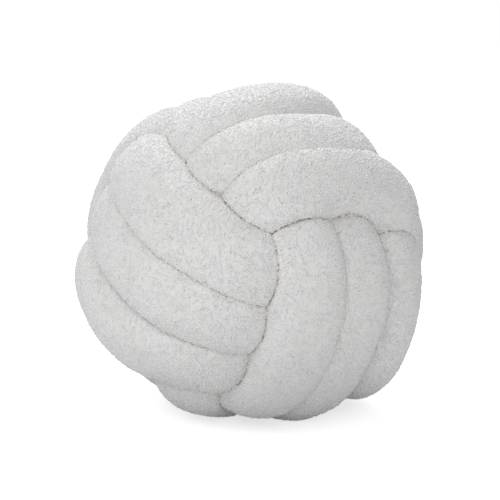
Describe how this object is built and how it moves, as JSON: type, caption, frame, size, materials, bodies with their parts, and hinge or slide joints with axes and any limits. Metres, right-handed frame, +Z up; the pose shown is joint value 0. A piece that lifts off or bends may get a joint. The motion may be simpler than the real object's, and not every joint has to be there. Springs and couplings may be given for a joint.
{
  "type": "knot cushion",
  "caption": "Ball-shaped knot cushion: one long stuffed tube of off-white curly pile cloth, tied so that every side shows parallel runs diving under the next side.",
  "frame": {"origin": "on the surface the cushion rests on, below the middle of its outline", "axes": "+Z up; -Y towards the front, where the corner of the knot with the three swirling runs shows; +X to the right seen from the front"},
  "size_m": [0.3, 0.3012, 0.2793],
  "materials": {
    "pile_cloth": "matte off-white cloth with short curly pile"
  },
  "bodies": {
    "root": {"knotted_tube": "pile_cloth"}
  },
  "joints": []
}
